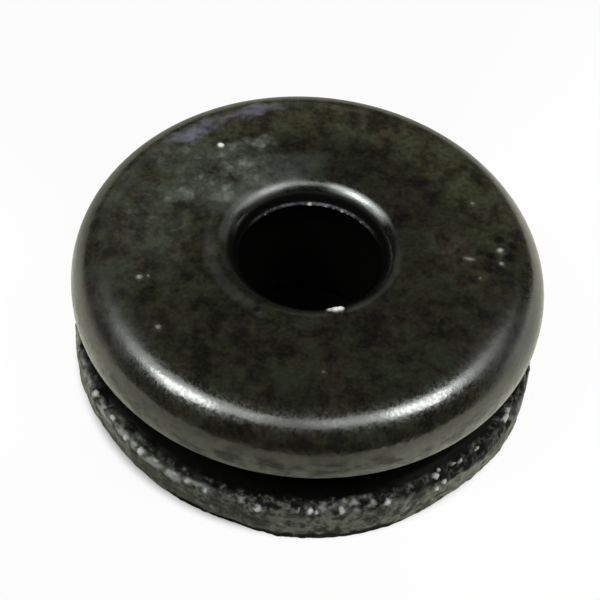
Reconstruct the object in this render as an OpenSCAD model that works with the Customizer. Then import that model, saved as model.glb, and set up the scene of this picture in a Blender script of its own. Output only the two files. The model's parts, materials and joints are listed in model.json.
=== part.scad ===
// Moulded rubber grommet: two flanges of one diameter with a groove between them for the
// edge of a panel, and a bore for a cable. It is one piece of rubber, turned about Z.
// The origin is the centre of the bottom face, and +Z points to the smooth upper flange.
// Millimetres.

/* [Diameters] */
// Outside diameter of the two flanges
flange_d = 19; // [15.6:0.1:26]
// Diameter of the neck between the flanges, the size of the panel's hole
neck_d = 12.7; // [10:0.1:14.6]
// Diameter of the bore that the cable passes through
bore_d = 5.9; // [3.4:0.1:8]

/* [Thicknesses] */
// Thickness of the smooth upper flange
upper_t = 2.35; // [1.2:0.05:4]
// Width of the groove, the thickest panel that it takes
groove_w = 2.05; // [0.8:0.05:5]
// Thickness of the lower flange
lower_t = 2; // [1:0.05:4]

/* [Edges] */
// Radius of the broad round shoulder on the upper flange
shoulder_r = 1.9; // [0.3:0.05:3]
// Radius of the soft lip where the bore opens in the upper face
lip_r = 0.9; // [0.2:0.05:1.2]
// Radius of the bore's edge in the bottom face
bottom_lip_r = 0.4; // [0.1:0.05:0.8]
// Radius of the upper flange's lower edge, over the groove
rim_r = 0.15; // [0.05:0.05:0.3]
// Radius of the two inner corners of the groove
root_r = 0.3; // [0.1:0.05:0.8]
// Radius of the lower flange's bottom edge
foot_r = 0.3; // [0.1:0.05:0.6]

/* [Moulding marks] */
// How far below the upper face the two core pins of the mould met in the bore
core_line_depth = 0.9; // [0.9:0.05:3]
// How far the thin ring of rubber left there stands out of the bore wall
core_line_h = 0.08; // [0.02:0.01:0.15]
// How far the torn flash stands out round the lower flange's upper edge
flash_h = 0.08; // [0.02:0.01:0.12]

/* [Hidden] */
$fn = 120;

rubber = [0.085, 0.085, 0.08];
// Overlap that keeps joined and cut shapes from sharing an edge
lap = 0.2;
// Flat wall that is always left beside a rounded edge
land = 0.1;

flange_r = flange_d / 2;
neck_r = neck_d / 2;
bore_r = bore_d / 2;
groove_z = lower_t;
upper_z = lower_t + groove_w;
height = upper_z + upper_t;
flange_reach = flange_r - neck_r;

// Edge radii, each held inside the wall that it rounds
rim = min(rim_r, upper_t / 4);
shoulder = min(shoulder_r, upper_t - rim - land);
lip = min(lip_r, flange_r - shoulder - bore_r - land);
foot = min(foot_r, lower_t - flash_h - land);
root = min(root_r, groove_w / 2 - land, flange_reach - flash_h - land);
core_line_top = height - lip;
core_line_bottom = bottom_lip_r + core_line_h + land;
core_line_z = max(min(height - core_line_depth, core_line_top), core_line_bottom);

// A square corner's rounding: the material between the corner at `at` and a circle of
// radius r that touches both of its sides. The corner opens towards [x, y], each 1 or -1.
// It is cut from an outer corner, and added in an inner one.
module corner(at, r, x, y) {
    difference() {
        translate(at + [x, y] * (r - lap) / 2) square(r + lap, center = true);
        translate(at + [x, y] * r) circle(r);
    }
}

// One wall of the half section, from the bore out to radius r and from z to z + t
module slab(r, z, t) {
    translate([bore_r, z]) square([r - bore_r, t]);
}

// Torn flash: a bead round the lower flange's upper edge
module flash() {
    translate([flange_r, groove_z]) circle(flash_h);
}

// Ring left in the bore where the core pins met, a half-round thread of rubber
module core_line() {
    translate([bore_r, core_line_z]) circle(core_line_h);
}

// Half section of the whole grommet, to the right of the axis
module section() {
    difference() {
        union() {
            slab(flange_r, 0, lower_t);
            slab(neck_r, 0, height);
            slab(flange_r, upper_z, upper_t);
            corner([neck_r, groove_z], root, 1, 1);
            corner([neck_r, upper_z], root, 1, -1);
        }
        corner([flange_r, height], shoulder, -1, -1);
        corner([flange_r, upper_z], rim, -1, 1);
        corner([flange_r, 0], foot, -1, 1);
        corner([bore_r, height], lip, 1, -1);
        corner([bore_r, 0], bottom_lip_r, 1, 1);
    }
    flash();
    core_line();
}

module grommet() {
    color(rubber) rotate_extrude() section();
}

grommet();
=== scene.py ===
# Looks of a moulded rubber grommet: a smooth domed flange, a dark groove, a torn lower flange and a bore.
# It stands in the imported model's frame, in metres. The dictionaries are in millimetres, which mm turns into
# metres, apart from the floor's side and the lamps, which are in metres.
import json
import math

import bmesh
import bpy
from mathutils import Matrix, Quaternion, Vector


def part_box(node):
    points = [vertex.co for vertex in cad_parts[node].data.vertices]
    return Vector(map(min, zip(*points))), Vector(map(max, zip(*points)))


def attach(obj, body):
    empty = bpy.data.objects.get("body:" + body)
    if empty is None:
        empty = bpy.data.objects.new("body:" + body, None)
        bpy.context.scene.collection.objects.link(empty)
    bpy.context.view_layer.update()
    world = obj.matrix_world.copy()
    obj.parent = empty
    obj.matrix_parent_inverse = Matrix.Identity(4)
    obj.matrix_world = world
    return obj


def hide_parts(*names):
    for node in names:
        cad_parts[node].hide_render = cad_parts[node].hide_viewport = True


mm = 0.001

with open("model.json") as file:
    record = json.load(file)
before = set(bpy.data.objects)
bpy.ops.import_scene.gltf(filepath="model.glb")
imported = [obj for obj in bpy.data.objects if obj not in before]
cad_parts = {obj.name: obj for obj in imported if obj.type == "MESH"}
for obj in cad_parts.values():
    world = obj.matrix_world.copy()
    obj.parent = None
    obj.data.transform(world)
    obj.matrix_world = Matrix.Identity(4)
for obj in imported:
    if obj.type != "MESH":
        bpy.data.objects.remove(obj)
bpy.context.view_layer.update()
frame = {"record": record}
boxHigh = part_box("grommet")[1]
mounts = {mount["name"]: mount for mount in frame["record"]["mounts"]}
print("frame loaded")

grommetShape = {
    "columns": 480,  # faces round the axis, twice as many on the torn side
    "flash": 0.08,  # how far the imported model's flash stands out of the lower flange
    # radius and segments of each rounded edge
    "shoulder": (1.9, 18),
    "lip": (0.9, 10),
    "rim": (0.15, 3),
    "root": (0.3, 3),
    "tornEdge": (0.3, 4),
    "foot": (0.12, 2),
    "bottomLip": (0.4, 4),
    # cuts across each flat band
    "upperFaceCuts": 9,
    "tornTopCuts": 6,
    "grooveFloorCuts": 2,
    "neckCuts": 1,
    "grooveRoofCuts": 4,
    "sideCuts": 12,
    "ringCuts": 1,
    "boreCuts": 3,
    "bottomCuts": 3,
    # the core pins' ring of flash, at the lower end of the lip
    "ringReach": 0.08,
    "ringHalf": 0.07,
    "ringTaper": 0.7,  # share of the reach that the loops beside it have
    "lipLean": 0.02,  # where the lip's first row ends: outward, and up in half rings
    "lipRise": 2.2,
    "fineRadius": 8.4,  # the torn zone's fine faces start here, out of sight under the upper flange
    "fineBottom": 0.05,
    "fineOver": 0.01,
    "fineCuts": 1,
}

groove = mounts["panel_groove"]
grooveLow = groove["pos_m"][2] - groove["dims"]["length_mm"] * mm / 2
grooveHigh = groove["pos_m"][2] + groove["dims"]["length_mm"] * mm / 2
neckR = groove["dims"]["r_mm"] * mm
boreR = mounts["bore"]["dims"]["r_mm"] * mm
flangeR = boxHigh.x - grommetShape["flash"] * mm
top = boxHigh.z
ringZ = top - grommetShape["lip"][0] * mm

sameSpot = 0.004 * mm  # points as near as this are on the same corner
shortEdge = 0.02 * mm
levelEdge = 0.002 * mm  # an edge that rises less than this is level


def editOnly(piece):
    bpy.ops.object.select_all(action="DESELECT")
    piece.select_set(True)
    bpy.context.view_layer.objects.active = piece


def ringPlace(co):
    return math.hypot(co.x, co.y), co.z


def near(place, target, slack=sameSpot):
    return abs(place[0] - target[0]) < slack and abs(place[1] - target[1]) < slack


def pickEdges(piece, test):
    # selects the edges whose two ends pass the test, as (radius, height) pairs
    bpy.ops.mesh.select_mode(type="EDGE")
    bpy.ops.mesh.select_all(action="DESELECT")
    shell = bmesh.from_edit_mesh(piece.data)
    for edge in shell.edges:
        if test(ringPlace(edge.verts[0].co), ringPlace(edge.verts[1].co)):
            edge.select_set(True)
    shell.select_flush_mode()
    bmesh.update_edit_mesh(piece.data)


def pickFaces(piece, test):
    # selects the faces whose middle passes the test
    bpy.ops.mesh.select_mode(type="FACE")
    bpy.ops.mesh.select_all(action="DESELECT")
    shell = bmesh.from_edit_mesh(piece.data)
    for face in shell.faces:
        if test(face.calc_center_median()):
            face.select_set(True)
    shell.select_flush_mode()
    bmesh.update_edit_mesh(piece.data)


def roundRing(piece, corner, radius, segments):
    pickEdges(piece, lambda a, b: near(a, corner) and near(b, corner))
    bpy.ops.mesh.bevel(offset=radius * mm, segments=segments, profile=0.5, affect="EDGES")


def cutBand(piece, start, end, cuts):
    # rows of faces across a flat band between two section points
    lowR, highR = sorted((start[0], end[0]))
    lowZ, highZ = sorted((start[1], end[1]))

    def inBand(place):
        inReach = lowR - sameSpot < place[0] < highR + sameSpot
        return inReach and lowZ - sameSpot < place[1] < highZ + sameSpot

    def crosses(a, b):
        return inBand(a) and inBand(b) and abs(a[0] - b[0]) + abs(a[1] - b[1]) > shortEdge

    pickEdges(piece, crosses)
    bpy.ops.mesh.subdivide(number_cuts=cuts)


def pushRing(piece, height, reach):
    # one loop of the bore wall is drawn in towards the axis
    pickEdges(piece, lambda a, b: near(a, (boreR, height), shortEdge) and abs(a[1] - b[1]) < levelEdge)
    shrink = (boreR - reach) / boreR
    bpy.ops.transform.resize(value=(shrink, shrink, 1), center_override=(0, 0, 0))


def buildGrommet():
    s = grommetShape
    fineR = s["fineRadius"] * mm
    bead = s["ringHalf"] * mm
    belowRing = ringZ - 2 * bead

    bpy.ops.object.select_all(action="DESELECT")
    bpy.ops.mesh.primitive_circle_add(vertices=s["columns"], radius=flangeR, location=(0, 0, 0))
    piece = bpy.context.object
    piece.name = "rubberGrommet"
    piece.data.name = "rubberGrommet"
    bpy.ops.object.mode_set(mode="EDIT")
    bpy.ops.mesh.select_all(action="SELECT")

    # the section's corners, walked from the bottom edge up the outside and down the bore
    walk = [
        (flangeR, grooveLow),
        (fineR, grooveLow),
        (neckR, grooveLow),
        (neckR, grooveHigh),
        (flangeR, grooveHigh),
        (flangeR, top),
        (boreR, top),
        (boreR, belowRing),
        (boreR, 0),
    ]
    radius, height = flangeR, 0
    for nextRadius, nextHeight in walk:
        bpy.ops.mesh.extrude_region_move(TRANSFORM_OT_translate={"value": (0, 0, nextHeight - height)})
        grow = nextRadius / radius
        bpy.ops.transform.resize(value=(grow, grow, 1), center_override=(0, 0, 0))
        radius, height = nextRadius, nextHeight
    pickEdges(piece, lambda a, b: near(a, b) and (near(a, (flangeR, 0)) or near(a, (boreR, 0))))
    bpy.ops.mesh.bridge_edge_loops()
    bpy.ops.mesh.select_all(action="SELECT")
    bpy.ops.mesh.normals_make_consistent(inside=False)
    print("section turned")

    roundRing(piece, (flangeR, top), *s["shoulder"])
    roundRing(piece, (boreR, top), *s["lip"])
    roundRing(piece, (flangeR, grooveHigh), *s["rim"])
    roundRing(piece, (neckR, grooveHigh), *s["root"])
    roundRing(piece, (neckR, grooveLow), *s["root"])
    roundRing(piece, (flangeR, grooveLow), *s["tornEdge"])
    roundRing(piece, (flangeR, 0), *s["foot"])
    roundRing(piece, (boreR, 0), *s["bottomLip"])

    tornR = s["tornEdge"][0] * mm
    lipRow = (boreR + s["lipLean"] * mm, ringZ + s["lipRise"] * bead)
    cutBand(piece, (boreR, top), (flangeR, top), s["upperFaceCuts"])
    cutBand(piece, (fineR, grooveLow), (flangeR - tornR, grooveLow), s["tornTopCuts"])
    cutBand(piece, (neckR, grooveLow), (fineR, grooveLow), s["grooveFloorCuts"])
    cutBand(piece, (neckR, grooveLow), (neckR, grooveHigh), s["neckCuts"])
    cutBand(piece, (neckR, grooveHigh), (flangeR, grooveHigh), s["grooveRoofCuts"])
    cutBand(piece, (flangeR, s["foot"][0] * mm), (flangeR, grooveLow - tornR), s["sideCuts"])
    cutBand(piece, (boreR, belowRing), (boreR, ringZ), s["ringCuts"])
    cutBand(piece, (boreR, ringZ), lipRow, s["ringCuts"])
    cutBand(piece, (boreR, 0), (boreR, belowRing), s["boreCuts"])
    cutBand(piece, (boreR, 0), (flangeR, 0), s["bottomCuts"])
    reach = s["ringReach"] * mm
    pushRing(piece, ringZ, reach)
    pushRing(piece, ringZ - bead, reach * s["ringTaper"])
    pushRing(piece, ringZ + bead, reach * s["ringTaper"])
    print("edges rounded")

    def onTornSide(middle):
        r, z = ringPlace(middle)
        return r > fineR and s["fineBottom"] * mm < z < grooveLow + s["fineOver"] * mm

    pickFaces(piece, onTornSide)
    bpy.ops.mesh.subdivide(number_cuts=s["fineCuts"])
    bpy.ops.mesh.select_all(action="DESELECT")
    bpy.ops.object.mode_set(mode="OBJECT")
    return piece


grommet = buildGrommet()

leastWeight = 0.002  # a point with less is left out of a group


def smoothStep(low, high, value):
    t = min(max((value - low) / (high - low), 0), 1)
    return t * t * (3 - 2 * t)


def azimuthOf(co):
    return math.degrees(math.atan2(co.y, co.x))


def aroundAzimuth(co, centre, reach):
    # 1 at a direction round the axis, fading to 0 at reach degrees from it
    away = abs((azimuthOf(co) - centre + 180) % 360 - 180)
    return 1 - smoothStep(0, reach, away)


def dome(co, centre, radius):
    # a smooth round cap over a point
    away = min((co - centre).length / radius, 1)
    return (1 - away * away) ** 2


def weighPoints(piece, name, weightAt, places=None):
    # a vertex group with a weight for each point, from where it is now or where it was
    group = piece.vertex_groups.new(name=name)
    for vertex in piece.data.vertices:
        weight = weightAt(places[vertex.index] if places else vertex.co)
        if weight > leastWeight:
            group.add([vertex.index], min(weight, 1), "REPLACE")


def pushOut(piece, group, height, pattern=None, middle=0.0, along="NORMAL"):
    # moves the group's points by its weights, along their normals or Z, and by a pattern where one is given
    push = piece.modifiers.new(group, "DISPLACE")
    push.vertex_group = group
    push.strength = height * mm
    push.mid_level = middle
    push.direction = along
    if pattern:
        push.texture = pattern
        push.texture_coords = "LOCAL"
    editOnly(piece)
    bpy.ops.object.modifier_apply(modifier=push.name)


def cloudPattern(name, size, depth=2):
    pattern = bpy.data.textures.new(name, "CLOUDS")
    pattern.noise_scale = size * mm
    pattern.noise_depth = depth
    return pattern


def lumpPattern(name, size):
    # round lumps, highest where the pattern is lowest
    pattern = bpy.data.textures.new(name, "VORONOI")
    pattern.noise_scale = size * mm
    pattern.distance_metric = "DISTANCE_SQUARED"
    return pattern


def keepAttribute(piece, name, valueAt):
    # a number for each point, which the rubber reads
    values = [valueAt(vertex) for vertex in piece.data.vertices]
    piece.data.attributes.new(name, "FLOAT", "POINT").data.foreach_set("value", values)


topMarks = {
    # x, y, radius, height and paleness: crumbs that stand on the upper face
    "nibs": [
        (-4.13, 4.87, 0.25, 0.07, 0.95),
        (-6.45, -2.61, 0.28, 0.05, 0.50),
        (-6.12, -2.50, 0.18, 0.03, 0.42),
        (-5.40, -4.93, 0.28, 0.05, 0.44),
        (6.34, 2.92, 0.28, 0.05, 0.38),
        (0.89, -6.27, 0.20, 0.04, 0.36),
        (7.46, 0.51, 0.31, 0.05, 0.52),
        (7.50, -0.18, 0.27, 0.05, 0.46),
        (6.65, -1.03, 0.21, 0.04, 0.38),
        (6.06, -0.07, 0.24, 0.03, 0.38),
        (6.22, -0.08, 0.24, 0.03, 0.40),
        (6.38, -0.09, 0.24, 0.03, 0.38),
        (5.75, 0.55, 0.17, 0.03, 0.34),
    ],
    # x, y, radius, height and darkness: pits and scuffs in it
    "pits": [
        (7.82, 0.22, 0.42, -0.03, 0.85),
        (7.10, 0.18, 0.34, -0.03, 0.75),
        (7.42, 1.12, 0.42, -0.03, 0.8),
        (7.95, 0.90, 0.34, -0.03, 0.75),
        (7.05, -0.55, 0.32, -0.03, 0.75),
        (6.62, 0.30, 0.30, -0.02, 0.6),
        (6.35, -1.15, 0.30, -0.03, 0.6),
        (-1.80, -3.60, 0.34, -0.05, 0.7),
        (-6.30, -2.85, 0.20, -0.02, 0.5),
        (-3.95, 5.20, 0.26, -0.04, 0.7),
    ],
    # a blob on the bore's near lip, painted pale as a painted glint
    "lipNibs": [
        (0.94, -3.21, 0.28, 0.11, 0.7),
        (1.14, -3.18, 0.34, 0.16, 1.0),
        (1.30, -3.15, 0.31, 0.16, 1.0),
    ],
    # each list's full height and the way it is pushed
    "pushes": {"nibs": (0.1, "NORMAL"), "pits": (-0.1, "NORMAL"), "lipNibs": (0.2, "Z")},
    "beadPush": 0.05,
    "zone": 0.12,  # how far the fine faces run past each mark, round it and down
    "zoneDepth": 0.5,
    "zoneCuts": 2,
    "markDepth": 0.7,  # how far under the upper face a mark still reaches
    # azimuth, radius, height and paleness: beads on the ring in the bore, whose paleness is a painted
    # highlight
    "beads": [
        (94.7, 0.19, 0.05, 1.0),
        (88.0, 0.12, 0.03, 0.6),
        (81.3, 0.14, 0.03, 0.7),
        (74.7, 0.12, 0.03, 0.6),
        (67.1, 0.15, 0.04, 0.85),
        (62.1, 0.12, 0.03, 0.6),
        (48.5, 0.14, 0.03, 0.6),
        (134.0, 0.15, 0.03, 0.55),
    ],
}


# the places of height and tone in a mark and in a bead
markHeight, markTone = 3, 4
beadHeight, beadTone = 2, 3


def refineMarks(piece):
    # fine faces round each mark on the upper face
    marks = topMarks["nibs"] + topMarks["pits"] + topMarks["lipNibs"]

    def onMark(middle):
        if middle.z < top - topMarks["zoneDepth"] * mm:
            return False
        for mark in marks:
            away = math.hypot(middle.x - mark[0] * mm, middle.y - mark[1] * mm)
            if away < (mark[2] + topMarks["zone"]) * mm:
                return True
        return False

    editOnly(piece)
    bpy.ops.object.mode_set(mode="EDIT")
    pickFaces(piece, onMark)
    bpy.ops.mesh.subdivide(number_cuts=topMarks["zoneCuts"])
    bpy.ops.mesh.select_all(action="DESELECT")
    bpy.ops.object.mode_set(mode="OBJECT")


def markWeight(co, marks, column, full):
    # the highest of the marks' caps at a point, as a share of the full height or tone
    weight = 0
    if co.z > top - topMarks["markDepth"] * mm:
        for mark in marks:
            centre = Vector((mark[0] * mm, mark[1] * mm, co.z))
            weight = max(weight, dome(co, centre, mark[2] * mm) * abs(mark[column]) / full)
    return weight


def beadWeight(co, column, full):
    # the highest of the ring's beads at a point
    weight = 0
    ringR = boreR - grommetShape["ringReach"] * mm
    for bead in topMarks["beads"]:
        turn = math.radians(bead[0])
        centre = Vector((ringR * math.cos(turn), ringR * math.sin(turn), ringZ))
        weight = max(weight, dome(co, centre, bead[1] * mm) * bead[column] / full)
    return weight


def markTop(piece):
    refineMarks(piece)
    beadPush = topMarks["beadPush"]
    weighPoints(piece, "beads", lambda co: beadWeight(co, beadHeight, beadPush))
    pushOut(piece, "beads", beadPush)
    for name, (height, along) in topMarks["pushes"].items():
        weighPoints(piece, name, lambda co: markWeight(co, topMarks[name], markHeight, abs(height)))
        pushOut(piece, name, height, along=along)


markTop(grommet)
print("upper face marked")

tornFinish = {
    # azimuth, reach in degrees and how far the side swells or sinks
    "swellings": [(-22, 26, 0.12), (-82, 38, 0.13)],
    "sinkings": [(-130, 34, 0.06), (-50, 18, 0.07)],
    "footSinkings": [(-136, 42, 0.2), (-103, 14, 0.12), (-50, 16, 0.06)],  # where the bottom edge is rounder
    "fullSwell": 0.2,
    "brokenAt": (-40, 46, 0.22),  # where the edge is torn away
    # where each zone starts and is full, as radii, heights or ways from the edge
    "edgeReach": (0.2, 0.8),
    "sideRadii": (8.7, 9.3),
    "sideRise": (0.02, 0.3),
    "swellRise": (0.02, 0.06),
    "footRadii": (9.0, 9.3),
    "footRise": (0.15, 0.6),
    "overEdge": 0.05,  # the torn zones stop this far over the edge
    "overCrumbs": 0.3,
    # size and height of each pattern
    "waves": (0.9, 0.12),
    "lumps": (0.62, 0.24),
    "lumpMiddle": 0.25,
    "tears": (0.3, 0.1),
    "grain": (0.16, 0.05),
    "footGrain": (0.45, 0.11),
    # crumbs: azimuth, way in from the edge or down the side if negative, radius
    "crumbs": [
        (-27.0, -0.08, 0.42),
        (-25.0, 0.1, 0.24),
        (-39.0, 0.1, 0.27),
        (-44.5, 0.2, 0.24),
        (-46.4, 0.26, 0.18),
        (-52.2, 0.22, 0.28),
        (-51.0, 0.42, 0.18),
        (-50.4, -0.6, 0.18),
        (-52.8, -0.7, 0.16),
        (-66.1, -0.22, 0.30),
        (-77.3, -0.12, 0.25),
        (-83.2, -0.14, 0.17),
        (-84.5, -0.10, 0.25),
        (-87.3, -0.03, 0.20),
        (-96.5, -0.20, 0.26),
        (-109.1, -0.13, 0.21),
        (-114.0, -0.11, 0.18),
        (-117.3, -0.12, 0.22),
        (-123.2, -0.10, 0.22),
        (-127.7, -0.15, 0.26),
        (-133.0, -0.2, 0.25),
        (-139.4, -0.03, 0.31),
        (-143.1, 0.0, 0.27),
        (-147.4, 0.08, 0.27),
        (-152.1, 0.0, 0.20),
    ],
    "crumbHeight": 0.15,
    "fullLift": 0.4,  # how far out and up a point moved, where it counts as highest
}


def tearFlange(piece):
    t = tornFinish
    crumbPlaces = []
    for azimuth, inward, radius in t["crumbs"]:
        turn = math.radians(azimuth)
        r = flangeR - max(inward, 0) * mm
        z = grooveLow + min(inward, 0) * mm
        crumbPlaces.append((Vector((r * math.cos(turn), r * math.sin(turn), z)), radius * mm))

    def between(name, value):
        low, high = t[name]
        return smoothStep(low * mm, high * mm, value)

    def edgeZone(co):
        r, z = ringPlace(co)
        if z > grooveLow + t["overEdge"] * mm:
            return 0
        return 1 - between("edgeReach", math.hypot(r - flangeR, z - grooveLow))

    def sideZone(co, rise="sideRise"):
        r, z = ringPlace(co)
        if z > grooveLow + t["overEdge"] * mm:
            return 0
        return between("sideRadii", r) * between(rise, z)

    def footZone(co):
        r, z = ringPlace(co)
        return between("footRadii", r) * (1 - between("footRise", z))

    def swell(co, places):
        total = sum(aroundAzimuth(co, azimuth, reach) * out for azimuth, reach, out in places)
        return total / t["fullSwell"]

    def broken(co):
        return aroundAzimuth(co, t["brokenAt"][0], t["brokenAt"][1])

    def crumb(co):
        if co.z > grooveLow + t["overCrumbs"] * mm:
            return 0
        return max(dome(co, place, radius) for place, radius in crumbPlaces)

    def roughen(group, name, depth=2):
        size, height = t[name]
        pushOut(piece, group, height, cloudPattern(name, size, depth), 0.5)

    before = [vertex.co.copy() for vertex in piece.data.vertices]
    weighPoints(piece, "swell", lambda co: sideZone(co, "swellRise") * swell(co, t["swellings"]))
    weighPoints(piece, "sink", lambda co: sideZone(co) * swell(co, t["sinkings"]))
    weighPoints(piece, "broken", lambda co: edgeZone(co) * broken(co))
    weighPoints(piece, "edge", edgeZone)
    weighPoints(piece, "side", sideZone)
    weighPoints(piece, "foot", footZone)
    pushOut(piece, "swell", t["fullSwell"])
    pushOut(piece, "sink", -t["fullSwell"])
    weighPoints(piece, "roundFoot", lambda co: footZone(co) * swell(co, t["footSinkings"]))
    pushOut(piece, "roundFoot", -t["fullSwell"])
    pushOut(piece, "broken", -t["brokenAt"][2])
    roughen("side", "waves", 1)
    pushOut(piece, "edge", -t["lumps"][1], lumpPattern("lumps", t["lumps"][0]), t["lumpMiddle"])
    roughen("edge", "tears")
    weighPoints(piece, "crumbs", crumb, before)
    pushOut(piece, "crumbs", t["crumbHeight"])
    roughen("side", "grain")
    roughen("foot", "footGrain")
    after = [vertex.co.copy() for vertex in piece.data.vertices]

    def lift(vertex):
        move = after[vertex.index] - before[vertex.index]
        outward = Vector((vertex.co.x, vertex.co.y, 0)).normalized() + Vector((0, 0, 1))
        return 0.5 + move.dot(outward) / (t["fullLift"] * mm)

    def mark(vertex):
        # over 0.5 on a pale mark and under it in a dark one
        pale = markWeight(vertex.co, topMarks["nibs"] + topMarks["lipNibs"], markTone, 1)
        pale = max(pale, beadWeight(vertex.co, beadTone, 1))
        return 0.5 + (pale - markWeight(vertex.co, topMarks["pits"], markTone, 1)) / 2

    keepAttribute(piece, "lift", lift)
    keepAttribute(piece, "pale", lambda vertex: crumb(before[vertex.index]))
    keepAttribute(piece, "mark", mark)


tearFlange(grommet)
editOnly(grommet)
bpy.ops.object.shade_smooth()
print("lower flange torn:", sum(len(face.vertices) - 2 for face in grommet.data.polygons), "triangles")

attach(grommet, "root")
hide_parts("grommet")

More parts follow.
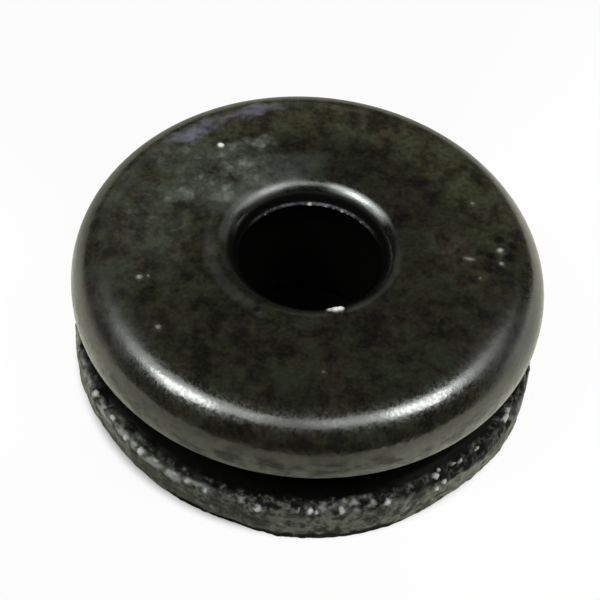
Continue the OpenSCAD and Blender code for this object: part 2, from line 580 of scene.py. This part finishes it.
# one rubber for the whole moulding, with its patterns in millimetres
rubberFinish = {
    "olive": (0.0112, 0.0112, 0.0056, 1),
    "brown": (0.0128, 0.0103, 0.0061, 1),
    "green": (0.0098, 0.0115, 0.0066, 1),
    "haze": (0.088, 0.098, 0.082, 1),
    "hazeFleck": (0.165, 0.175, 0.155, 1),
    "lipHaze": (0.043, 0.047, 0.040, 1),
    "lipHighlight": (0.24, 0.25, 0.24, 1),
    "lilac": (0.116, 0.113, 0.147, 1),
    # pale crumbs on the upper face; on the lip's blob and the ring's beads a painted glint
    "nib": (0.74, 0.735, 0.69, 1),
    # rim and rimDark: a painted reflection of the floor on the flange's side, olive, in blotches
    "rim": (0.030, 0.032, 0.014, 1),
    "rimDark": (0.006, 0.007, 0.003, 1),
    "side": (0.092, 0.095, 0.068, 1),
    "sideDark": (0.021, 0.022, 0.015, 1),
    "fleck": (0.17, 0.17, 0.155, 1),
    "torn": (0.0035, 0.0035, 0.0035, 1),
    "tornSpeck": (0.062, 0.062, 0.051, 1),
    "tornGlint": (0.21, 0.21, 0.205, 1),
    "glintBelt": (0.30, 0.30, 0.29, 1),  # painted glints along the torn edge on the near left
    # the crumbs' tops: pale scuffs, with painted glints
    "crumb": (0.50, 0.50, 0.50, 1),
    "thread": (0.22, 0.19, 0.23, 1),  # painted highlight on the ring in the bore
    # painted shade in the groove, the bore, the lip's inner side and along the bottom edge; also the pits'
    # colour
    "dark": (0.0025, 0.0022, 0.0018, 1),
    # pale dusty blotches beside the bore: x, y, half length, half width, turn and strength
    "hazeSpots": [
        (-3.25, 3.85, 0.80, 0.55, 20, 1.0),
        (-2.50, 5.25, 0.50, 0.42, 0, 0.85),
        (-2.45, 4.45, 0.70, 0.50, 0, 0.5),
        (-2.75, 3.18, 0.45, 0.38, 0, 0.9),
        (-3.90, 1.98, 0.65, 0.55, 0, 0.75),
        (-5.50, 2.00, 0.80, 0.42, 0, 0.8),
        (-4.70, 2.60, 1.00, 0.55, 0, 0.55),
        (-5.30, 3.75, 1.30, 1.10, 30, 0.3),
        (-3.70, 4.50, 1.10, 0.60, 30, 0.5),
        (-6.30, 0.20, 1.20, 1.90, 0, 0.2),
    ],
    # worn streaks by the far edge
    "streaks": [
        (-5.42, 5.60, 0.85, 0.38, 38, 1.0),
        (-2.85, 7.20, 1.00, 0.30, 18, 0.85),
        (-3.95, 6.60, 0.70, 0.22, 30, 0.6),
    ],
    "markEdge": 0.7,
    # pale arcs round the bore, painted highlights on the lip, strongest on the far right: azimuth, half
    # angle, radius, half width and strength
    "lipHighlightArcs": [
        (56, 31, 3.33, 0.22, 1.0),
        (160, 30, 3.5, 0.28, 0.13),
        (-150, 45, 4.05, 0.35, 0.055),
    ],
    # wide patches: centre, half sizes, turn and softness of the edge
    "palerLeft": ((-6.0, 1.0), (2.6, 4.2), 0, 0.6),
    "palerRight": ((6.2, 0.6), (1.4, 2.0), 0, 0.5),
    "farLip": ((-2.3, 2.9), (2.7, 0.75), 38, 0.4),
    "sideRight": ((7.3, -6.1), (6.0, 6.0), 0, 0.3),
    "sideLeft": ((-7.6, -5.7), (5.0, 5.0), 0, 0.3),
    "patchDepth": 1.5,
    # directions round the axis: azimuth, and the degrees from it where each one ends and is full
    "nearSide": (-90, 84, 52),
    # painted shade: where the lower flange's side is painted darker
    "shadedSide": (-114, 26, 8),
    "brokenSide": (-37, 20, 6),
    "leftTail": (-151, 22, 5),
    "rightTail": (-24, 22, 6),
    "nearLip": (-110, 95, 70),
    # size, detail, roughness and seed of each noise
    "noises": {
        "broad": (2.0, 3.0, 0.6, 2.0),
        "mottle": (0.75, 4.0, 0.62, 5.0),
        "cloud": (1.0, 3.0, 0.6, 11.0),
        "fine": (0.2, 2.0, 0.5, 9.0),
        "speck": (0.13, 2.0, 0.6, 15.0),
        "lump": (0.36, 1.5, 0.5, 21.0),
        "grit": (0.3, 3.0, 0.62, 33.0),
        "grain": (0.12, 2.0, 0.5, 3.0),
        "ripple": (0.5, 2.0, 0.5, 7.0),
    },
    "band": (0.75, 3.5, 0.62, 41.0),  # a noise that lies along the flanges' sides
    "bandScale": (0.85, 0.85, 1.5),
    "wanderScale": 1.6,  # the drift that breaks up the patches' edges
    "wanderDetail": 3.0,
    "wanderReach": 1.6,
    # where each pattern starts and ends, and its values there if they aren't 0 and 1
    "fades": {
        "brownClouds": (0.45, 0.62),
        "greenClouds": (0.48, 0.66),
        "mottleLevel": (0.34, 0.66, 0.3, 1.55),
        "fineLevel": (0.3, 0.7, 0.8, 1.2),
        "farSheenRadius": (5.5, 6.9),
        "farSheenY": (-1.5, 4.0),
        "hazeCloud": (0.35, 0.62, 0.5, 1.05),
        "hazeFine": (0.34, 0.66, 0.7, 1.2),
        "lipMottle": (0.35, 0.6, 0.4, 1.0),
        "streakMottle": (0.3, 0.6, 0.4, 1.0),
        "hazeFlecks": (0.5, 0.7, 0.0, 0.9),
        "lipShade": (3.65, 3.2),
        "rimStart": (9.28, 9.5),
        "rimBlotches": (0.4, 0.6),
        "lowerStart": (2.6, 2.4),
        "sideBlotches": (0.43, 0.58),
        "sideCalm": (0.3, 0.7, 0.25, 0.75),
        "sideFlecks": (0.52, 0.75, 0.0, 0.8),
        "corner": (9.26, 9.46),
        "highLumps": (0.42, 0.68),
        "highLift": (0.4, 0.6, 0.2, 1.0),
        "highGrit": (0.4, 0.62, 0.3, 0.95),
        "tornGrit": (0.47, 0.64),
        "tornStart": (2.16, 2.4),
        "beltLumps": (0.36, 0.66),
        "beltStart": (1.7, 2.0),
        "frontStart": (-7.4, -8.8),
        "bottomShadeFade": (-0.60, -0.72),
        "crumbStart": (0.15, 0.9),
        "grooveWall": (9.15, 8.95),
        "grooveRoof": (4.1, 4.0),
        "boreWall": (3.04, 2.98),
        "boreTop": (5.42, 5.36),
        "threadWall": (2.97, 2.93),
        "threadLow": (5.36, 5.42),
        "threadHigh": (5.64, 5.56),
        "threadFar": (1.0, 2.9),
        "threadGrit": (0.42, 0.62, 0.22, 0.8),
        "pitMark": (0.5, 0.1),
        "nibMark": (0.60, 0.95),
        "skinRough": (0.38, 0.62, 0.15, 0.27),
        "tailStart": (6.9, 7.6),
        "tailEnd": (9.3, 9.05, 0.15, 1.0),
        "tailGrit": (0.38, 0.6, 0.65, 1.05),
        "rimShine": (0.38, 0.58, 0.45, 1.03),
        "rimFoot": (4.15, 4.4, 0.6, 1.0),
        "rimGrit": (0.35, 0.65, 0.82, 1.08),
        "sideShine": (0.0, 1.0, 0.35, 1.3),
        "nearLipStart": (3.55, 3.3),
        "boreEdge": (3.16, 3.05),
        "nibDull": (0.53, 0.62, 0.0, 0.85),
        "rimRipple": (9.1, 9.4, 1.0, 3.0),
        "nibSmooth": (0.52, 0.7, 1.0, 0.2),
    },
    "palerGain": 0.95,
    "farSheenGain": 1.55,
    "blotchShare": 0.5,  # of the grit in the side's blotches, with as much of the band
    "shadedSideLoss": 0.5,
    # how far each one moves the torn zone's lower edge, and the corner
    "mottleReach": 0.8,
    "rightReach": 0.35,
    "brokenReach": 0.38,
    "cornerReach": 0.25,
    "bottomMottle": 0.9,
    "bottomFront": 0.55,
    "crumbGrit": 1.7,
    "dustRough": 0.4,
    "tailRough": 0.35,
    "sideRough": 0.5,
    "dullRough": 0.6,
    "sideSpecular": 0.42,
    "tornSpecular": 0.08,
    "grainShare": 0.3,
    "bumpDepth": 0.009,
}


def addNode(tree, kind, inputs=(), **settings):
    # makes a node, sets it and joins its inputs, each given as a name or number and a socket or value
    node = tree.nodes.new("ShaderNode" + kind)
    for name, value in settings.items():
        setattr(node, name, value)
    for name, value in dict(inputs).items():
        if isinstance(value, bpy.types.NodeSocket):
            tree.links.new(value, node.inputs[name])
        else:
            node.inputs[name].default_value = value
    return node


def maths(tree, kind, first, second=0.0, third=1.0):
    return addNode(tree, "Math", {0: first, 1: second, 2: third}, operation=kind).outputs[0]


def product(tree, first, *others):
    for value in others:
        first = maths(tree, "MULTIPLY", first, value)
    return first


def strongest(tree, first, *others):
    for value in others:
        first = maths(tree, "MAXIMUM", first, value)
    return first


def scaleAdd(tree, value, times, more=1.0):
    return maths(tree, "MULTIPLY_ADD", value, times, more)


def vectorMaths(tree, kind, inputs, output=0):
    return addNode(tree, "VectorMath", inputs, operation=kind).outputs[output]


def fade(tree, value, low, high, start=0.0, end=1.0):
    # start below low, end above high, and smooth between
    inputs = {"Value": value, "From Min": low, "From Max": high, "To Min": start, "To Max": end}
    return addNode(tree, "MapRange", inputs, interpolation_type="SMOOTHSTEP").outputs[0]


def fadeBy(tree, value, name):
    return fade(tree, value, *rubberFinish["fades"][name])


def noise(tree, place, size, detail, rough, seed):
    inputs = {"Vector": place, "W": seed, "Scale": 1 / size, "Detail": detail, "Roughness": rough}
    return addNode(tree, "TexNoise", inputs, noise_dimensions="4D").outputs["Fac"]


def blend(tree, share, first, second):
    inputs = {0: share, 6: first, 7: second}
    return addNode(tree, "Mix", inputs, data_type="RGBA").outputs[2]


def blendValue(tree, share, first, second):
    return addNode(tree, "Mix", {0: share, 2: first, 3: second}).outputs[0]


def patch(tree, place, centre, half, turn, edge):
    # 1 inside an ellipse on the upper face, in mm, with a soft edge
    inputs = {
        "Vector": place,
        "Location": (centre[0], centre[1], top / mm),
        "Rotation": (0, 0, math.radians(turn)),
        "Scale": (half[0], half[1], rubberFinish["patchDepth"]),
    }
    local = addNode(tree, "Mapping", inputs, vector_type="TEXTURE").outputs[0]
    away = vectorMaths(tree, "LENGTH", {0: local}, "Value")
    return fade(tree, away, 1 - edge, 1 + edge, 1.0, 0.0)


def facing(tree, way, azimuth, reach, full):
    # 1 towards a direction round the axis, fading to 0 at reach degrees from it
    turn = math.radians(azimuth)
    ahead = vectorMaths(tree, "DOT_PRODUCT", {0: way, 1: (math.cos(turn), math.sin(turn), 0)}, "Value")
    return fade(tree, ahead, math.cos(math.radians(reach)), math.cos(math.radians(full)))


def arcsOf(tree, way, radius, arcs):
    # the strongest of a list of arcs round the axis
    share = 0.0
    for azimuth, half, middle, wide, strength in arcs:
        off = maths(tree, "ABSOLUTE", maths(tree, "SUBTRACT", radius, middle))
        across = fade(tree, off, wide / 4, wide, strength, 0.0)
        share = strongest(tree, share, product(tree, across, facing(tree, way, azimuth, half, half / 3)))
    return share


def marksOf(tree, place, marks):
    # the strongest of a list of elliptical marks
    share = 0.0
    for x, y, long, wide, turn, strength in marks:
        mark = patch(tree, place, (x, y), (long, wide), turn, rubberFinish["markEdge"])
        share = strongest(tree, share, product(tree, mark, strength))
    return share


def readPlace(tree):
    # where a point of the grommet is, in millimetres
    c = rubberFinish
    texture = addNode(tree, "TexCoord").outputs["Object"]
    place = addNode(tree, "Mapping", {"Vector": texture, "Scale": (1 / mm, 1 / mm, 1 / mm)}).outputs[0]
    axes = addNode(tree, "SeparateXYZ", {0: place})
    flat = addNode(tree, "CombineXYZ", {0: axes.outputs[0], 1: axes.outputs[1]}).outputs[0]
    driftInputs = {"Vector": place, "Scale": c["wanderScale"], "Detail": c["wanderDetail"]}
    drift = addNode(tree, "TexNoise", driftInputs).outputs["Color"]
    shift = vectorMaths(tree, "SUBTRACT", {0: drift, 1: (0.5, 0.5, 0.5)})
    reach = (c["wanderReach"], c["wanderReach"], c["wanderReach"])
    return {
        "place": place,
        "y": axes.outputs[1],
        "height": axes.outputs[2],
        "radius": vectorMaths(tree, "LENGTH", {0: flat}, "Value"),
        "way": vectorMaths(tree, "NORMALIZE", {0: flat}),
        "raised": vectorMaths(tree, "ADD", {0: flat, 1: (0, 0, top / mm)}),  # brought up to the upper face
        "wander": vectorMaths(tree, "MULTIPLY_ADD", {0: shift, 1: reach, 2: place}),
    }


def makeNoises(tree, at):
    c = rubberFinish
    noises = {name: noise(tree, at["place"], *setting) for name, setting in c["noises"].items()}
    along = addNode(tree, "Mapping", {"Vector": at["place"], "Scale": c["bandScale"]}).outputs[0]
    noises["band"] = noise(tree, along, *c["band"])
    return noises


def colourSkin(tree, at, n):
    # the moulded skin: olive, with brown and green clouds
    c = rubberFinish
    skin = blend(tree, fadeBy(tree, n["broad"], "brownClouds"), c["olive"], c["brown"])
    skin = blend(tree, fadeBy(tree, n["mottle"], "greenClouds"), skin, c["green"])
    level = product(tree, fadeBy(tree, n["mottle"], "mottleLevel"), fadeBy(tree, n["fine"], "fineLevel"))
    # painted sheen: the upper face is painted lighter towards its far side, on top of the paler left and
    # right patches
    far = product(tree, fadeBy(tree, at["radius"], "farSheenRadius"), fadeBy(tree, at["y"], "farSheenY"))
    left = patch(tree, at["wander"], *c["palerLeft"])
    right = patch(tree, at["wander"], *c["palerRight"])
    paler = strongest(tree, left, right, product(tree, far, c["farSheenGain"]))
    level = product(tree, level, scaleAdd(tree, paler, c["palerGain"]))
    skin = vectorMaths(tree, "SCALE", {0: skin, "Scale": level})

    # dusty haze beside the bore and on its far lip, and worn streaks by the far edge
    haze = marksOf(tree, at["wander"], c["hazeSpots"])
    haze = product(tree, haze, fadeBy(tree, n["cloud"], "hazeCloud"), fadeBy(tree, n["fine"], "hazeFine"))
    onLip = product(tree, patch(tree, at["place"], *c["farLip"]), fadeBy(tree, n["mottle"], "lipMottle"))
    streak = marksOf(tree, at["wander"], c["streaks"])
    streak = product(tree, streak, fadeBy(tree, n["mottle"], "streakMottle"))
    fleck = product(tree, haze, fadeBy(tree, n["lump"], "hazeFlecks"))
    skin = blend(tree, onLip, skin, c["lipHaze"])
    skin = blend(tree, haze, skin, c["haze"])
    skin = blend(tree, fleck, skin, c["hazeFleck"])
    skin = blend(tree, streak, skin, c["lilac"])
    # painted shade: the lip is painted darker towards the bore
    skin = blend(tree, fadeBy(tree, at["radius"], "lipShade"), skin, c["dark"])
    # painted highlights: pale arcs on the lip round the bore
    skin = blend(tree, arcsOf(tree, at["way"], at["radius"], c["lipHighlightArcs"]), skin, c["lipHighlight"])

    # the flange's side, painted olive and lighter in blotches: a painted reflection of the floor, over the
    # real one
    onRim = fadeBy(tree, at["radius"], "rimStart")
    rim = blend(tree, fadeBy(tree, n["band"], "rimBlotches"), c["rimDark"], c["rim"])
    skin = blend(tree, onRim, skin, rim)
    dust = strongest(tree, haze, onLip)
    return skin, dust, streak, onRim


def colourTorn(tree, at, n):
    # the torn side of the lower flange: blotched below, black with pale lumps at the top edge, the lumps
    # painted glints, and a painted shade line at the bottom
    c = rubberFinish
    way, height, radius = at["way"], at["height"], at["radius"]
    lift = addNode(tree, "Attribute", attribute_name="lift").outputs["Fac"]
    pale = addNode(tree, "Attribute", attribute_name="pale").outputs["Fac"]
    onRight = patch(tree, at["raised"], *c["sideRight"])
    onLeft = patch(tree, at["raised"], *c["sideLeft"])

    blotch = scaleAdd(tree, n["grit"], c["blotchShare"], product(tree, n["band"], c["blotchShare"]))
    light = fadeBy(tree, blotch, "sideBlotches")
    calm = fadeBy(tree, blotch, "sideCalm")
    light = blendValue(tree, facing(tree, way, *c["nearSide"]), calm, light)
    # painted shade: the lower flange's side is painted darker facing azimuth -114
    light = product(tree, light, scaleAdd(tree, facing(tree, way, *c["shadedSide"]), -c["shadedSideLoss"]))
    side = blend(tree, light, c["sideDark"], c["side"])
    side = blend(tree, fadeBy(tree, n["lump"], "sideFlecks"), side, c["fleck"])

    nearEdge = scaleAdd(tree, n["mottle"], c["mottleReach"], height)
    nearEdge = scaleAdd(tree, onRight, c["rightReach"], nearEdge)
    nearEdge = scaleAdd(tree, facing(tree, way, *c["brokenSide"]), c["brokenReach"], nearEdge)
    atCorner = fadeBy(tree, scaleAdd(tree, onRight, c["cornerReach"], radius), "corner")
    # painted glints: the highest lumps at the torn corner are painted pale
    high = product(tree, fadeBy(tree, n["lump"], "highLumps"), fadeBy(tree, lift, "highLift"))
    high = product(tree, high, atCorner, fadeBy(tree, n["grit"], "highGrit"))
    torn = blend(tree, fadeBy(tree, n["grit"], "tornGrit"), c["torn"], c["tornSpeck"])
    torn = blend(tree, high, torn, c["tornGlint"])
    tornShare = fadeBy(tree, nearEdge, "tornStart")
    side = blend(tree, tornShare, side, torn)

    # painted glints: pale lumps along the torn edge on the near left
    glintBelt = product(tree, onLeft, fadeBy(tree, n["lump"], "beltLumps"))
    glintBelt = product(tree, glintBelt, fadeBy(tree, nearEdge, "beltStart"), atCorner)
    side = blend(tree, glintBelt, side, c["glintBelt"])
    # painted shade: a dark ragged line along the bottom edge, thicker at the front
    lowEdge = scaleAdd(tree, n["mottle"], -c["bottomMottle"], height)
    lowEdge = scaleAdd(tree, fadeBy(tree, at["y"], "frontStart"), -c["bottomFront"], lowEdge)
    bottomShade = fadeBy(tree, lowEdge, "bottomShadeFade")
    side = blend(tree, bottomShade, side, c["dark"])
    # the crumbs' tops painted pale: pale scuffs and painted glints
    crumbScuffAndGlint = scaleAdd(tree, maths(tree, "SUBTRACT", n["grit"], 0.5), c["crumbGrit"], pale)
    side = blend(tree, fadeBy(tree, crumbScuffAndGlint, "crumbStart"), side, c["crumb"])
    return side, light, strongest(tree, tornShare, bottomShade)


def makeRubber():
    c = rubberFinish
    rubber = bpy.data.materials.new("blackRubber")
    rubber.use_nodes = True
    tree = rubber.node_tree
    shader = tree.nodes["Principled BSDF"]
    at = readPlace(tree)
    n = makeNoises(tree, at)
    way, height, radius = at["way"], at["height"], at["radius"]

    skin, dust, streak, onRim = colourSkin(tree, at, n)
    side, light, sideDull = colourTorn(tree, at, n)
    lower = fadeBy(tree, height, "lowerStart")
    skin = blend(tree, lower, skin, side)

    # no light reaches the groove and the bore, under the ring
    inner = product(tree, fadeBy(tree, radius, "grooveWall"), fadeBy(tree, height, "grooveRoof"))
    deep = product(tree, fadeBy(tree, radius, "boreWall"), fadeBy(tree, height, "boreTop"))
    inside = strongest(tree, inner, deep)
    skin = blend(tree, inside, skin, c["dark"])
    # painted highlight on the ring in the bore, on its far side only
    thread = product(tree, fadeBy(tree, radius, "threadWall"), fadeBy(tree, height, "threadLow"))
    thread = product(tree, thread, fadeBy(tree, height, "threadHigh"), fadeBy(tree, at["y"], "threadFar"))
    thread = product(tree, thread, fadeBy(tree, n["grit"], "threadGrit"))
    skin = blend(tree, thread, skin, c["thread"])

    # crumbs, beads and pits, with painted glints on the beads and the lip's blob
    mark = addNode(tree, "Attribute", attribute_name="mark").outputs["Fac"]
    skin = blend(tree, fadeBy(tree, mark, "pitMark"), skin, c["dark"])
    skin = blend(tree, fadeBy(tree, mark, "nibMark"), skin, c["nib"])
    tree.links.new(skin, shader.inputs["Base Color"])

    # what has no shine: the inside, the torn edge, the near lip and the nibs
    nearLip = product(tree, facing(tree, way, *c["nearLip"]), fadeBy(tree, radius, "nearLipStart"))
    dull = strongest(tree, inside, product(tree, lower, sideDull))
    dull = strongest(tree, dull, strongest(tree, nearLip, fadeBy(tree, radius, "boreEdge")))
    dull = strongest(tree, dull, fadeBy(tree, mark, "nibDull"))

    # rougher under the dust, on the streaks and at the two ends of the shoulder's gleam
    rough = fadeBy(tree, n["speck"], "skinRough")
    rough = blendValue(tree, dust, rough, c["dustRough"])
    rough = blendValue(tree, streak, rough, c["dustRough"])
    tails = strongest(tree, facing(tree, way, *c["leftTail"]), facing(tree, way, *c["rightTail"]))
    tails = product(tree, tails, fadeBy(tree, radius, "tailStart"), fadeBy(tree, radius, "tailEnd"))
    tails = product(tree, tails, fadeBy(tree, n["grit"], "tailGrit"))
    rough = blendValue(tree, tails, rough, c["tailRough"])
    rough = blendValue(tree, lower, rough, c["sideRough"])
    tree.links.new(blendValue(tree, dull, rough, c["dullRough"]), shader.inputs["Roughness"])

    patchy = product(tree, fadeBy(tree, n["band"], "rimShine"), fadeBy(tree, height, "rimFoot"))
    patchy = product(tree, patchy, fadeBy(tree, n["grit"], "rimGrit"))
    specular = blendValue(tree, onRim, 1.0, patchy)
    sideShine = product(tree, fadeBy(tree, light, "sideShine"), c["sideSpecular"])
    specular = blendValue(tree, lower, specular, sideShine)
    specular = blendValue(tree, dull, specular, c["tornSpecular"])
    tree.links.new(specular, shader.inputs["Specular IOR Level"])

    ripple = product(tree, n["ripple"], fadeBy(tree, radius, "rimRipple"))
    relief = scaleAdd(tree, n["grain"], c["grainShare"], ripple)
    smooth = fadeBy(tree, mark, "nibSmooth")
    bumpInputs = {"Height": relief, "Distance": c["bumpDepth"] * mm, "Strength": smooth}
    tree.links.new(addNode(tree, "Bump", bumpInputs).outputs[0], shader.inputs["Normal"])
    return rubber


grommet.data.materials.append(makeRubber())
print("rubber ready")

floorSetup = {
    "side": 1.6,
    "colour": (0.85, 0.85, 0.84, 1),
    "roughness": 0.9,
    "shade": (0.004, 0.004, 0.004, 1),  # under the grommet, where no light reaches
    "shadeRadius": 9.15,
    "shadeEdge": 0.06,
    "reflected": (0.98, 0.985, 0.82),  # how bright it looks in reflections
    # where reflections find it darker: azimuth, reach, full reach and share, in front and behind
    "dusk": [(-106, 60, 18, 0.6), (107, 62, 32, 0.40)],
    "glow": 0.95,  # share of plain white in what the camera sees of the floor
    "glowStart": 9.15,  # the glow fades out near the grommet and leaves its contact shadow
    "glowFull": 9.75,
}


def makeFloor():
    f = floorSetup
    bpy.ops.object.select_all(action="DESELECT")
    bpy.ops.mesh.primitive_plane_add(size=f["side"], location=(0, 0, 0))
    floor = bpy.context.object
    floor.name = "floor"
    paper = bpy.data.materials.new("floorPaper")
    paper.use_nodes = True
    tree = paper.node_tree
    shader = tree.nodes["Principled BSDF"]
    shader.inputs["Roughness"].default_value = f["roughness"]
    shader.inputs["Specular IOR Level"].default_value = 0

    place = addNode(tree, "TexCoord").outputs["Object"]
    away = vectorMaths(tree, "LENGTH", {0: place}, "Value")
    shadeStart = (f["shadeRadius"] - f["shadeEdge"]) * mm
    shadeEnd = (f["shadeRadius"] + f["shadeEdge"]) * mm
    under = fade(tree, away, shadeStart, shadeEnd)
    way = vectorMaths(tree, "NORMALIZE", {0: place})
    dusk = 1.0
    for azimuth, reach, full, share in f["dusk"]:
        darker = blendValue(tree, facing(tree, way, azimuth, reach, full), 1.0, share)
        dusk = product(tree, darker, dusk)
    tone = blend(tree, under, f["shade"], f["colour"])
    tone = vectorMaths(tree, "SCALE", {0: tone, "Scale": dusk})
    tree.links.new(tone, shader.inputs["Base Color"])

    # the floor is white in the camera's view, and nearly so in reflections
    rays = addNode(tree, "LightPath").outputs
    seen = strongest(tree, rays["Is Glossy Ray"], rays["Is Transmission Ray"])
    seen = strongest(tree, rays["Is Camera Ray"], seen)
    share = fade(tree, away, f["glowStart"] * mm, f["glowFull"] * mm, 0.0, f["glow"])
    share = product(tree, share, seen)
    dim = vectorMaths(tree, "SCALE", {0: f["reflected"], "Scale": dusk})
    white = blend(tree, rays["Is Camera Ray"], dim, (1, 1, 1, 1))
    glow = addNode(tree, "Emission", {"Color": white})
    mix = addNode(tree, "MixShader", {0: share, 1: shader.outputs[0], 2: glow.outputs[0]})
    tree.links.new(mix.outputs[0], tree.nodes["Material Output"].inputs["Surface"])
    floor.data.materials.append(paper)


makeFloor()

lampSetup = {
    "distance": 0.5,
    "tint": (0.96, 1.0, 0.965),
    "room": 0.032,
    # tilt from straight up, azimuth from +X and turn about its own axis, then length, width and radiance
    "lamps": {
        "leftSoftbox": (39, -152, 45, 0.175, 0.145, 12.8),
        "rightSoftbox": (34, -15, -45, 0.155, 0.145, 12.4),
        "leftSheet": (31.5, -161, 37, 0.47, 0.17, 2.85),
        "rightSheet": (29, -16, -38, 0.47, 0.17, 2.85),
        "backPanel": (64, 112, 0, 0.4, 0.2, 0.2),
        "sidePanel": (86, 18, 0, 0.25, 0.06, 2.0),
        "frontPanel": (24, -92, 0, 0.26, 0.16, 1.3),
        "leftTail": (43.5, 155, 60, 0.1, 0.1, 0.8),
        "rightTail": (44, 22, -60, 0.1, 0.1, 2.0),
    },
}


def makeLamp(name, tilt, azimuth, turn, long, wide, radiance):
    # a soft panel that hangs over the grommet and faces it
    tilt = math.radians(tilt)
    azimuth = math.radians(azimuth)
    way = Vector((math.sin(tilt) * math.cos(azimuth), math.sin(tilt) * math.sin(azimuth), math.cos(tilt)))
    panel = bpy.data.lights.new(name, "AREA")
    panel.shape = "RECTANGLE"
    panel.size = long
    panel.size_y = wide
    panel.color = lampSetup["tint"]
    panel.energy = radiance * math.pi * long * wide
    lamp = bpy.data.objects.new(name, panel)
    bpy.context.scene.collection.objects.link(lamp)
    lamp.location = way * lampSetup["distance"]
    lamp.rotation_mode = "QUATERNION"
    towards = (-way).to_track_quat("-Z", "Y")
    lamp.rotation_quaternion = towards @ Quaternion((0, 0, 1), math.radians(turn))


for lampName, lampSettings in lampSetup["lamps"].items():
    makeLamp(lampName, *lampSettings)


def makeRoom():
    # a dim room that the camera sees as white
    room = bpy.data.worlds.new("room")
    bpy.context.scene.world = room
    room.use_nodes = True
    tree = room.node_tree
    dim = tree.nodes["Background"]
    dim.inputs["Color"].default_value = (1, 1, 1, 1)
    dim.inputs["Strength"].default_value = lampSetup["room"]
    white = addNode(tree, "Background", {"Color": (1, 1, 1, 1), "Strength": 1.0})
    toCamera = addNode(tree, "LightPath").outputs["Is Camera Ray"]
    mix = addNode(tree, "MixShader", {0: toCamera, 1: dim.outputs[0], 2: white.outputs[0]})
    tree.links.new(mix.outputs[0], tree.nodes["World Output"].inputs["Surface"])


makeRoom()

cameraSetup = {
    "distance": 58.7,  # from the middle of the upper face
    "elevation": 48.39,
    "aim": (-0.233, -2.969),  # the point of the upper face in the middle of the view
    "roll": 5.19,
    "lens": 89.4,
    "nearest": 0.001,  # what is seen, in metres from the camera
    "farthest": 10,
}


def makeCamera():
    c = cameraSetup
    rise = math.radians(c["elevation"])
    place = Vector((0, -math.cos(rise), math.sin(rise))) * c["distance"] * mm + Vector((0, 0, top))
    aim = Vector((c["aim"][0] * mm, c["aim"][1] * mm, top))
    lens = bpy.data.cameras.new("camera")
    lens.lens = c["lens"]
    lens.clip_start = c["nearest"]
    lens.clip_end = c["farthest"]
    camera = bpy.data.objects.new("camera", lens)
    bpy.context.scene.collection.objects.link(camera)
    camera.location = place
    camera.rotation_mode = "QUATERNION"
    look = (aim - place).to_track_quat("-Z", "Y")
    camera.rotation_quaternion = look @ Quaternion((0, 0, 1), math.radians(c["roll"]))
    bpy.context.scene.camera = camera


makeCamera()
bpy.context.scene.view_settings.view_transform = "Standard"
print("stage ready")
